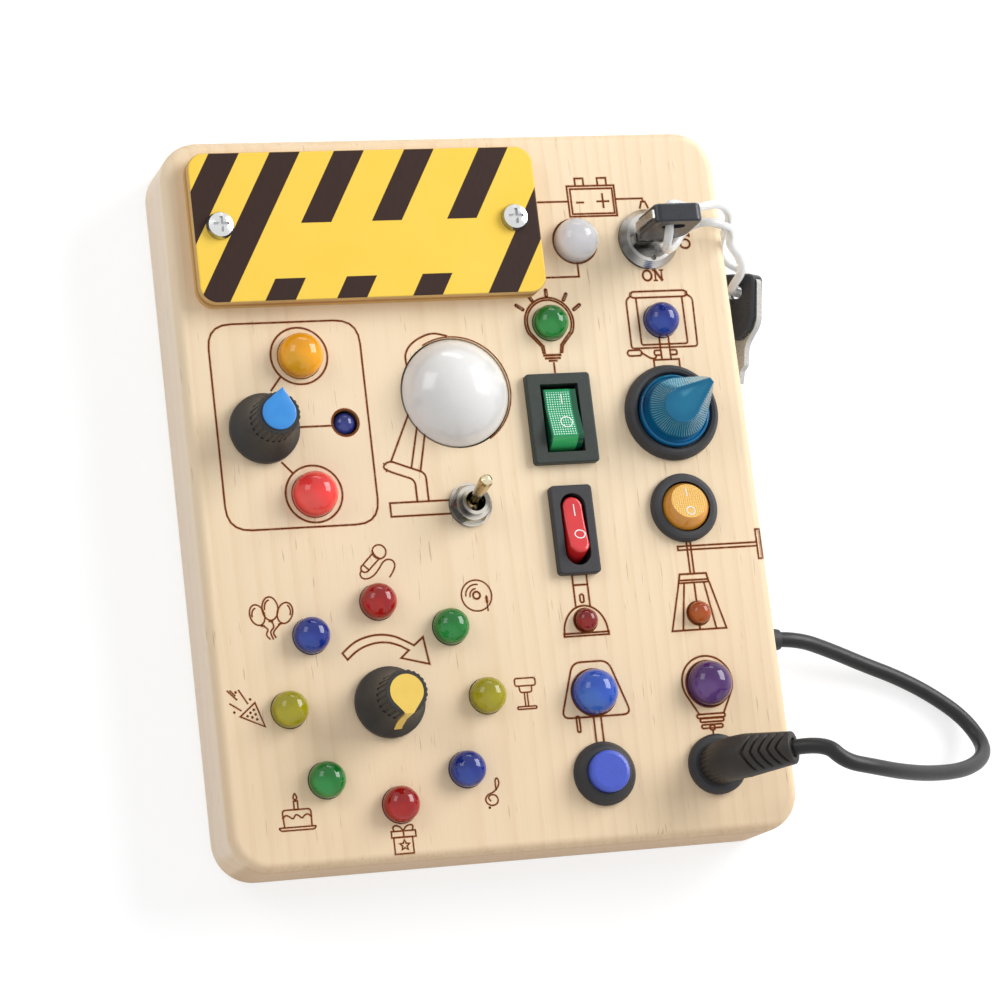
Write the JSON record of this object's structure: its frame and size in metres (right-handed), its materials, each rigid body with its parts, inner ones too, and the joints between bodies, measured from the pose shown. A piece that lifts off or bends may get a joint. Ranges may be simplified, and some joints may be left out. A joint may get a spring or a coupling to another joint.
{
  "type": "busy board",
  "caption": "Wooden toddler activity board with round indicator lamps, rocker, toggle and rotary switches, a key switch, a push button and a plug on a short lead.",
  "frame": {"origin": "centre of the flat back face, on the surface the board lies on", "axes": "+Z out of the front face, +Y towards the board's upper edge, +X to the right of someone facing the front"},
  "size_m": [0.1834, 0.162, 0.0435],
  "materials": {
    "pine": "clear oiled",
    "sign_face": "printed",
    "steel": "satin",
    "zinc": "polished",
    "black_plastic": "satin",
    "key_plastic": "satin",
    "red_lens": "clear tinted",
    "green_lens": "clear tinted",
    "lime_lens": "clear tinted",
    "blue_lens": "clear tinted",
    "navy_lens": "clear tinted",
    "orange_lens": "gloss",
    "coral_lens": "gloss",
    "amber_lens": "clear tinted",
    "purple_lens": "clear tinted",
    "white_lens": "frosted",
    "opal": "gloss",
    "green_rocker": "clear tinted",
    "red_rocker": "clear tinted",
    "amber_rocker": "clear tinted",
    "selector_blue": "clear tinted",
    "button_blue": "gloss",
    "knob_black": "satin",
    "yellow_inlay": "satin",
    "blue_inlay": "satin",
    "cord_black": "satin",
    "tether_clear": "clear",
    "copper_board": "solder mask",
    "cell_wrap": "plain wrap"
  },
  "bodies": {
    "board": {"amber_rocker_housing": "black_plastic", "back_cover": "pine", "back_screws": "steel", "basket_lamp_amber": "amber_lens", "battery_box": "black_plastic", "battery_cells": "cell_wrap", "battery_contacts": "steel", "battery_door": "black_plastic", "blue_rotary_switch": "black_plastic", "board_body": "pine", "bulb_lamp_purple": "purple_lens", "circuit_board": "copper_board", "cord_gland": "cord_black", "desk_lamp_red": "red_lens", "green_rocker_housing": "black_plastic", "jack_socket": "black_plastic", "key_tether": "tether_clear", "lamp_holders": "black_plastic", "lamps_blue": "blue_lens", "lamps_green": "green_lens", "lamps_lime": "lime_lens", "lamps_red": "red_lens", "lock_body": "zinc", "panel_lamp_navy": "navy_lens", "panel_lamp_orange": "orange_lens", "panel_lamp_red": "coral_lens", "panel_nuts": "steel", "plug_cord": "cord_black", "push_button_bezel": "black_plastic", "push_button_spring": "steel", "red_rocker_housing": "black_plastic", "selector_bezel": "black_plastic", "shade_lamp_blue": "blue_lens", "sign_lamp_white": "white_lens", "sign_plate": "sign_face", "sign_screws": "zinc", "spare_key_blade": "zinc", "spare_key_head": "key_plastic", "table_light_board": "copper_board", "table_light_dome": "opal", "toggle_housing": "steel", "toggle_nut_and_washer": "zinc", "yellow_rotary_switch": "black_plastic"},
    "key": {"lock_rotor": "zinc", "key_blade": "zinc", "key_head": "key_plastic"},
    "toggle": {"toggle_lever": "zinc"},
    "green_rocker": {"green_rocker": "green_rocker"},
    "red_rocker": {"red_rocker": "red_rocker"},
    "amber_rocker": {"amber_rocker": "amber_rocker"},
    "selector": {"selector_knob": "selector_blue"},
    "push_button": {"push_button_cap": "button_blue"},
    "yellow_knob": {"yellow_knob": "knob_black", "yellow_knob_inlay": "yellow_inlay", "yellow_rotary_shaft": "steel"},
    "blue_knob": {"blue_knob": "knob_black", "blue_knob_inlay": "blue_inlay", "blue_rotary_shaft": "steel"},
    "plug": {"plug_body": "cord_black", "plug_pin": "zinc"}
  },
  "joints": [
    {"name": "key_turn", "type": "hinge", "parent": "board", "child": "key", "pos_m": [0.0463, 0.0553, 0.018], "axis": [0, 0, 1], "range_deg": [0, 90], "deforming": ["key_tether"]},
    {"name": "toggle_flip", "type": "hinge", "parent": "board", "child": "toggle", "pos_m": [-0.0032, -0.0041, 0.019], "axis": [1, 0, 0], "range_deg": [0, 22]},
    {"name": "green_rocker_tilt", "type": "hinge", "parent": "board", "child": "green_rocker", "pos_m": [0.0201, 0.0143, 0.0166], "axis": [1, 0, 0], "range_deg": [0, 24]},
    {"name": "red_rocker_tilt", "type": "hinge", "parent": "board", "child": "red_rocker", "pos_m": [0.0199, -0.0111, 0.0166], "axis": [1, 0, 0], "range_deg": [0, 24]},
    {"name": "amber_rocker_tilt", "type": "hinge", "parent": "board", "child": "amber_rocker", "pos_m": [0.0465, -0.0074, 0.0185], "axis": [1, 0, 0], "range_deg": [0, 24]},
    {"name": "selector_turn", "type": "hinge", "parent": "board", "child": "selector", "pos_m": [0.0465, 0.0146, 0.018], "axis": [0, 0, 1], "range_deg": [0, 90]},
    {"name": "push_button_press", "type": "slide", "parent": "board", "child": "push_button", "axis": [0, 0, -1], "range_m": [0, 0.0015], "stiffness_N_per_m": 300, "springref_m": -0.001, "deforming": ["push_button_spring"]},
    {"name": "yellow_knob_turn", "type": "hinge", "parent": "board", "child": "yellow_knob", "pos_m": [-0.0267, -0.0466, 0.018], "axis": [0, 0, 1], "range_deg": [-180, 135]},
    {"name": "blue_knob_turn", "type": "hinge", "parent": "board", "child": "blue_knob", "pos_m": [-0.0479, 0.0152, 0.018], "axis": [0, 0, 1], "range_deg": [-150, 0]},
    {"name": "plug_pull", "type": "slide", "parent": "board", "child": "plug", "axis": [0, 0, 1], "range_m": [0, 0.014], "deforming": ["plug_cord"]}
  ]
}
